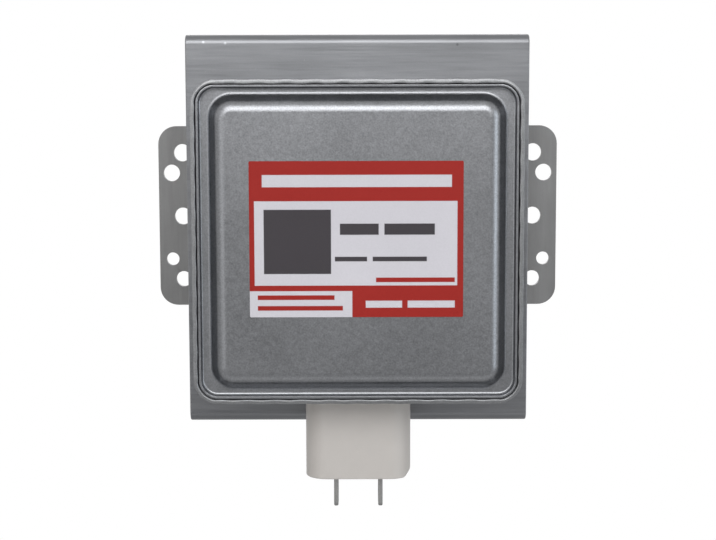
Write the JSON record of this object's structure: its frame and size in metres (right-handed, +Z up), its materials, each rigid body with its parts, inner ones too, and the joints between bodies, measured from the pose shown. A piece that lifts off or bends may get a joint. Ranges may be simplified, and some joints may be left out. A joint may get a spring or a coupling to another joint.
{
  "type": "magnetron",
  "caption": "Microwave oven magnetron: tube with ring magnets and fins in a steel yoke, eared mounting plate, antenna, and a filter box with lid and push-on terminals.",
  "frame": {"origin": "on the antenna's axis, in the plane of the mounting plate's outer face, which bolts to the waveguide", "axes": "+Y along the antenna, out of the mounting plate and away from the lid; +Z up, away from the terminal tabs; +X towards the right ear seen from the lid"},
  "size_m": [0.1106, 0.117, 0.1088],
  "materials": {
    "yoke_steel": "zinc-plated rolled sheet, satin",
    "plate_steel": "zinc-plated sheet, dull satin",
    "box_steel": "galvanised thin sheet, fine grain",
    "bright_steel": "drawn stainless steel, bright",
    "nickel": "nickel-plated, satin",
    "tin": "tin-plated brass, satin",
    "soft_iron": "plated soft iron",
    "copper": "bare copper",
    "coil_wire": "enamelled copper wire",
    "aluminium": "thin rolled sheet",
    "molybdenum": "drawn wire, satin",
    "wire_mesh": "woven wire",
    "ferrite": "sintered ferrite, matt",
    "ceramic": "alumina ceramic, unglazed",
    "white_plastic": "moulded white plastic, satin",
    "label_foil": "printed film label, satin"
  },
  "bodies": {
    "root": {"anode_cylinder": "copper", "anode_vane_01": "copper", "anode_vane_02": "copper", "anode_vane_03": "copper", "anode_vane_04": "copper", "anode_vane_05": "copper", "anode_vane_06": "copper", "anode_vane_07": "copper", "anode_vane_08": "copper", "anode_vane_09": "copper", "anode_vane_10": "copper", "antenna_cap": "bright_steel", "antenna_lead": "copper", "capacitor_flange": "box_steel", "capacitor_housing": "white_plastic", "capacitor_inner_case": "white_plastic", "cathode_lead_center": "molybdenum", "cathode_lead_side": "molybdenum", "ceramic_capacitor": "ceramic", "choke_coil_left": "coil_wire", "choke_coil_right": "coil_wire", "cooling_fin_1": "aluminium", "cooling_fin_2": "aluminium", "cooling_fin_3": "aluminium", "cooling_fin_4": "aluminium", "cooling_fin_5": "aluminium", "cooling_fin_6": "aluminium", "end_hat_input": "molybdenum", "end_hat_output": "molybdenum", "exhaust_tube": "copper", "ferrite_core_left": "ferrite", "ferrite_core_right": "ferrite", "filament": "molybdenum", "filter_box": "box_steel", "filter_lid": "box_steel", "flange_rivet_1": "bright_steel", "flange_rivet_2": "bright_steel", "flange_rivet_3": "bright_steel", "flange_rivet_4": "bright_steel", "gasket_mesh": "wire_mesh", "lid_label": "label_foil", "magnet_input": "ferrite", "magnet_output": "ferrite", "mounting_plate": "plate_steel", "output_ceramic": "ceramic", "output_sleeve": "nickel", "pole_piece_input": "soft_iron", "pole_piece_output": "soft_iron", "stem_ceramic": "ceramic", "stem_sleeve": "nickel", "stem_terminal_left": "nickel", "stem_terminal_right": "nickel", "strap_inner_input": "copper", "strap_inner_output": "copper", "strap_outer_input": "copper", "strap_outer_output": "copper", "terminal_tab_left": "tin", "terminal_tab_right": "tin", "yoke_frame": "yoke_steel"}
  },
  "joints": []
}
